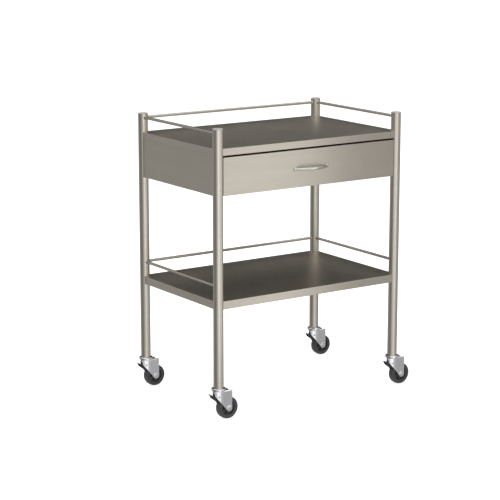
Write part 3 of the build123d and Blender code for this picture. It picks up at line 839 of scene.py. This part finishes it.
def make_swivel_head():
    """The deep bearing cup over the fork's crown, open round the kingpin's collar."""
    bm = bmesh.new()
    low, high = box_mm(f"{castor}_swivel_housing")
    outer = (high.x - low.x) / 2
    bore = 14.3
    wall = 1.6
    shoulder = 3.0  # outside radius of the cup's upper edge
    inside = shoulder - wall
    cup = [(outer - 1.2, low.z), (outer - 0.3, low.z + 0.2), (outer, low.z + 0.8)]
    for k in range(7):
        turn = math.radians(15 * k)
        cup.append((outer - shoulder + shoulder * math.cos(turn),
                    high.z - shoulder + shoulder * math.sin(turn)))
    cup += [(outer - 5.0, high.z), (outer - 5.6, high.z - 0.5), (bore + 1.2, high.z - 0.5),
            (bore + 0.3, high.z - 0.8), (bore, high.z - wall), (outer - 4.4, high.z - wall - 0.6)]
    for k in range(1, 6):
        turn = math.radians(90 - 18 * k)
        cup.append((outer - shoulder + inside * math.cos(turn),
                    high.z - shoulder + inside * math.sin(turn)))
    cup.append((outer - wall, low.z))
    lathe(bm, cup, FLAT, 64, hollow=True)
    return bm


def make_fasteners():
    """Axle bolt with its washers and nut, and the rivet that the brake turns on."""
    bm = bmesh.new()
    bolt_r, bolt_end = 4.0, 5.4  # the bolt's ends stand out of the cheeks by bolt_end
    bolt = [(bolt_r - 0.6, -cheek - bolt_end), (bolt_r, -cheek - bolt_end + 0.6),
            (bolt_r, cheek + bolt_end - 0.6), (bolt_r - 0.6, cheek + bolt_end)]
    lathe(bm, bolt, axle_place, 24)
    half_flats = 6.5
    washer_thick, nut_end = 1.2, 4.9
    nut_corner = half_flats / math.cos(math.radians(30))
    hexagon = ellipse(nut_corner, nut_corner, 6)
    # Rings as (radius, height out of the cheek).
    washer = [(bolt_r, 0.02), (7.9, 0.02), (8.2, 0.3), (8.2, 0.9),
              (7.9, washer_thick), (bolt_r, washer_thick)]
    head = [(3.4, -0.8), (3.5, 1.4), (2.8, 2.0), (1.4, 2.3), (0.3, 2.4)]
    pin_half = fork_half(brake_pin.x)
    for way in (-1.0, 1.0):
        lathe(bm, [(r, way * (cheek + h)) for r, h in washer], axle_place, 36, hollow=True)
        low, high = sorted((way * (cheek + washer_thick), way * (cheek + nut_end)))
        prism(bm, hexagon, low, high, axle_place, 0.5)
        lathe(bm, [(r, way * (pin_half + h)) for r, h in head], pin_place, 24)
    pin_r = 1.95
    lathe(bm, [(pin_r, -pin_half), (pin_r, pin_half)], pin_place, 16)
    return bm


def make_tyre():
    """A crowned tread with round shoulders and a moulded bead on each side."""
    bm = bmesh.new()
    rim = wheel_r - tyre_thick
    half = tread / 2
    side = [(rim, half - 1.4), (rim + 0.8, half - 0.5), (rim + 2.0, half - 0.2),
            (rim + 2.5, half - 0.8), (rim + 3.2, half - 0.9), (rim + 3.8, half - 0.15)]
    shoulder = 4.0
    crown = 0.35  # how much lower than its middle the tread is at its shoulders
    for k in range(8):
        turn = math.radians(90 * k / 7)
        side.append((wheel_r - crown - shoulder + shoulder * math.sin(turn),
                     half - shoulder + shoulder * math.cos(turn)))
    side += [(wheel_r - 0.12, half * 0.4), (wheel_r, 0.0)]
    profile = side + [(r, -h) for r, h in side[-2::-1]]
    lathe(bm, profile, axle_place, 96, hollow=True)
    return bm


def make_hub():
    """A moulded centre: rim, thin web, six ribs a side and a boss round the axle."""
    bm = bmesh.new()
    rim = wheel_r - tyre_thick
    half = tread / 2
    boss_end = 13.45
    web = 3.2  # half the web's thickness
    # (radius, half width) out from the bore: boss, web, then the rim under the tyre.
    side = [(4.2, boss_end - 0.15), (5.0, boss_end), (9.2, boss_end), (10.0, 12.8),
            (10.4, 4.6), (12.2, web), (22.4, web), (24.0, 4.6),
            (24.5, half - 1.6), (25.2, half - 1.1), (27.4, half - 1.1), (rim, half - 1.6)]
    lathe(bm, side + [(r, -h) for r, h in reversed(side)], axle_place, 72, hollow=True)
    rib = rounded([(9.4, -1.2), (24.6, -1.0), (24.6, 1.0), (9.4, 1.2)])
    rib_foot, rib_end = 2.6, 8.6
    for k in range(6):
        turn = axle_place @ Matrix.Rotation(math.radians(60 * k + 15), 4, "Z")
        for way in (-1.0, 1.0):
            low, high = sorted((way * rib_foot, way * rib_end))
            prism(bm, rib, low, high, turn, 0.35)
    return bm


def make_brake():
    """A ridged toe pedal on a flanged blade, with ears on the pivot and a tyre shoe."""
    bm = bmesh.new()
    half_sheet = brake_sheet / 2
    pad_half, blade_half, shoe_half = 13.0, 10.8, 10.0  # half widths
    flange_thick = 2.1
    ear_inner, ear_outer = 5.4, 7.6
    shoe_gap = 2.4  # to the tyre, with the brake off
    shoe_turn = math.radians(147)  # place of the shoe round the tyre
    out = Vector((math.cos(shoe_turn), math.sin(shoe_turn)))
    level = Vector((-out.y, out.x))
    axle = Vector((trail, wheel_r))
    shoe = axle + out * (wheel_r + shoe_gap + half_sheet)
    blade_end = shoe + out * half_sheet
    root = Vector((fork_nose - 3.75, nose_low - 3.5))  # where the blade meets the pedal
    tip = Vector((-30.0, fork_top - 13.0))

    along = (tip - root).normalized()
    across = Vector((along.y, -along.x))
    if across.x < 0:
        across = -across
    toe = 1.2  # the pad runs past the tip
    length = (tip - root).length + toe
    top = []
    for k in range(25):
        share = k / 24
        ridge = 0.4 * max(0.0, math.sin(share * 3 * 2 * math.pi))
        top.append(root + along * length * share - across * (half_sheet + ridge))
    pad = top + [tip + along * toe + across * half_sheet, root + across * half_sheet]
    prism(bm, pad, -pad_half, pad_half, side_place, 0.5)

    down = (blade_end - root).normalized()
    normal = Vector((down.y, -down.x))
    if normal.x > 0:
        normal = -normal
    off = normal * half_sheet
    blade = [root - off, blade_end - off, blade_end + off, root + off]
    prism(bm, blade, -blade_half, blade_half, side_place, 0.4)
    # The blade's edges are folded down into a channel that narrows towards the shoe.
    flange = [root + normal * 1.0, root + normal * 4.6 + down * 1.5,
              root + normal * 4.8 + down * 8.0, blade_end + normal * 1.6,
              blade_end + normal * 0.6]
    # The ears run from a round end on the pivot to a smaller one on the blade.
    middle = (root + blade_end) / 2
    span = brake_pin - middle
    facing = math.atan2(span.y, span.x)
    ear = []
    for centre, radius, start, steps in ((brake_pin, 4.0, -90, 12), (middle, 2.4, 90, 8)):
        for k in range(steps + 1):
            turn = facing + math.radians(start) + math.radians(180 * k / steps)
            ear.append(centre + Vector((math.cos(turn), math.sin(turn))) * radius)
    for way in (-1.0, 1.0):
        low, high = sorted((way * (blade_half - flange_thick), way * blade_half))
        prism(bm, flange, low, high, side_place, 0.4)
        low, high = sorted((way * ear_inner, way * ear_outer))
        prism(bm, ear, low, high, side_place, 0.4)
    block = [shoe + out * x + level * y
             for x, y in ((half_sheet, 4.0), (-half_sheet, 4.0),
                          (-half_sheet, -4.0), (half_sheet, -4.0))]
    prism(bm, block, -shoe_half, shoe_half, side_place, 0.5)
    return bm


# Piece, its builder, material, the body it rides on, its slot and the sharpest smooth angle.
CASTOR_PARTS = (
    ("fork", make_fork, zinc, "swivel", "zinc_plate", 30.0),
    ("swivel_housing", make_swivel_head, zinc, "swivel", "zinc_plate", 34.0),
    ("fasteners", make_fasteners, zinc, "swivel", "zinc_plate", 34.0),
    ("tyre", make_tyre, tyre_rubber, "wheel", "tyre_rubber", 40.0),
    ("hub", make_hub, hub_plastic, "wheel", "hub_plastic", 40.0),
    ("brake_lever", make_brake, black_paint, "brake", "black_lever", 34.0),
)
for part, build, finish, rides, slot_name, smooth in CASTOR_PARTS:
    mesh = None
    for corner in CORNERS:
        foot = Matrix.Translation(corner_point(corner, 0.0) * MM)
        place = foot @ Matrix.Rotation(castor_turn, 4, "Z")
        name = f"{corner}_{part}"
        body = f"castor_{corner}_{rides}"
        stands_for = [f"castor_{corner}_{part}"]
        if mesh is None:
            piece = make_piece(name, build(), finish, body, stands_for, smooth, place)
            mesh = piece.data
        else:
            add_piece(name, mesh, body, stands_for, place)

# Kingpins with their collars and rivets stay with the legs while the forks turn on them.
bm = bmesh.new()
collar_low = box_mm("swivel_bearings")[1].z
collar_high = leg_low.z
pin_low, pin_high = box_mm("castor_kingpins")
rivet = pin_low.z
stem_r, rivet_r, collar_r = 6.0, 10.0, 14.0
pin = [(3.0, rivet), (rivet_r - 2.0, rivet + 0.4), (rivet_r - 0.4, rivet + 1.4),
       (rivet_r, rivet + 2.6), (rivet_r, rivet + 4.0), (stem_r, rivet + 4.0),
       (stem_r, collar_low), (collar_r - 0.8, collar_low), (collar_r, collar_low + 0.6),
       (collar_r, collar_high - 0.7), (collar_r - 0.6, collar_high), (stem_r, collar_high),
       (stem_r, pin_high.z - 1.0), (stem_r - 1.0, pin_high.z)]
for corner in CORNERS:
    lathe(bm, pin, leg_axis(corner), 40)
make_piece("kingpins", bm, zinc, "frame", ["castor_kingpins"], 34.0)


# ---- Floor, lights and camera ----------------------------------------------------------
# The view that fits the photo's edges best: turned to the right, and looking down a little.
view_turn = math.radians(34.15)
view_drop = math.radians(12.10)
camera_data = bpy.data.cameras.new("camera")
camera_data.lens = 126.17
camera_data.sensor_width = 36.0
camera_data.clip_end = 200.0
camera = bpy.data.objects.new("camera", camera_data)
camera.location = (-3.4007, -4.8565, 1.7558)
camera.rotation_euler = (math.radians(90.0) - view_drop, 0.0, -view_turn)
bpy.context.scene.collection.objects.link(camera)
bpy.context.scene.camera = camera
bpy.context.scene.view_settings.view_transform = "Standard"


def make_floor():
    """A pale disc, lit up towards the photo's white, that reaches past the camera's view."""
    bm = bmesh.new()
    bmesh.ops.create_circle(bm, cap_ends=True, segments=64, radius=90.0)
    mesh = bpy.data.meshes.new("floor")
    bm.to_mesh(mesh)
    bm.free()
    floor = bpy.data.objects.new("floor", mesh)
    nodes = Nodes("floor", metallic=0.0, roughness=0.9)
    clouds = nodes.noise(scale=0.8, detail=3.0)
    tint = nodes.blend(nodes.span(clouds, 0.0, 1.0), (0.50, 0.50, 0.50), (0.52, 0.52, 0.52))
    mesh.materials.append(nodes.finish(tint, nodes.span(clouds, 0.85, 0.95)))
    nodes.shader.inputs["Emission Color"].default_value = (1.0, 1.0, 1.0, 1.0)
    nodes.shader.inputs["Emission Strength"].default_value = 0.80
    floor.visible_glossy = False
    bpy.context.scene.collection.objects.link(floor)


def area_light(name, place, target, width, height, power):
    """A rectangular light at place that looks at target; sizes in metres, power in watts."""
    data = bpy.data.lights.new(name, "AREA")
    data.shape = "RECTANGLE"
    data.size = width
    data.size_y = height
    data.energy = power
    light = bpy.data.objects.new(name, data)
    light.location = place
    away = Vector(place) - Vector(target)
    light.rotation_euler = away.to_track_quat("Z", "Y").to_euler()
    light.visible_camera = False
    bpy.context.scene.collection.objects.link(light)
    return light


def make_world():
    """A studio brighter in front and overhead, and dimmer to the left and far behind."""
    world = bpy.data.worlds.new("studio")
    bpy.context.scene.world = world
    world.use_nodes = True
    tree = world.node_tree
    background = tree.nodes["Background"]
    background.inputs["Color"].default_value = (1.0, 0.995, 0.985, 1.0)
    direction = tree.nodes.new("ShaderNodeTexCoord").outputs["Generated"]

    def math_node(operation, first, second):
        node = tree.nodes.new("ShaderNodeMath")
        node.operation = operation
        for socket, value in zip(node.inputs, (first, second)):
            if isinstance(value, float):
                socket.default_value = value
            else:
                tree.links.new(value, socket)
        return node.outputs["Value"]

    def towards(axis, start, end):
        """0 where a direction is start or less along axis, 1 where it is end or more."""
        dot = tree.nodes.new("ShaderNodeVectorMath")
        dot.operation = "DOT_PRODUCT"
        dot.inputs[1].default_value = Vector(axis).normalized()
        tree.links.new(direction, dot.inputs[0])
        spread = tree.nodes.new("ShaderNodeMapRange")
        spread.interpolation_type = "SMOOTHSTEP"
        spread.inputs["From Min"].default_value = start
        spread.inputs["From Max"].default_value = end
        tree.links.new(dot.outputs["Value"], spread.inputs["Value"])
        return spread.outputs["Result"]

    left = towards((-0.987, 0.159, 0.0), 0.68, 0.90)
    above = towards((0.0, 0.0, 1.0), -0.06, 0.14)
    behind = math_node("MULTIPLY", towards((0.56, 0.83, 0.15), 0.55, 0.9), above)
    front = towards((-0.35, -0.94, 0.1), 0.45, 0.95)
    strip_light = towards((-0.07, -1.0, -0.12), 0.92, 0.98)
    roof = towards((0.0, 0.0, 1.0), 0.35, 0.85)
    level = 0.44
    for glow, gain in ((front, 0.22), (roof, 0.9), (strip_light, 0.60)):
        level = math_node("ADD", level, math_node("MULTIPLY", glow, gain))
    for shade, depth in ((left, 0.50), (behind, 0.92)):
        kept = math_node("SUBTRACT", 1.0, math_node("MULTIPLY", shade, depth))
        level = math_node("MULTIPLY", level, kept)
    tree.links.new(level, background.inputs["Strength"])


make_floor()
make_world()
area_light("front_softbox", (-0.9, -1.5, 0.6), (-0.4, 0.0, 0.6), 0.9, 1.5, 2.3)
area_light("side_softbox", (0.27, -1.12, 0.62), (-0.53, -0.97, 0.62), 0.9, 1.4, 2.3)
overhead = area_light("overhead", (0.0, 0.0, 4.5), (0.0, 0.0, 0.0), 5.0, 5.0, 160.0)
overhead.visible_glossy = False
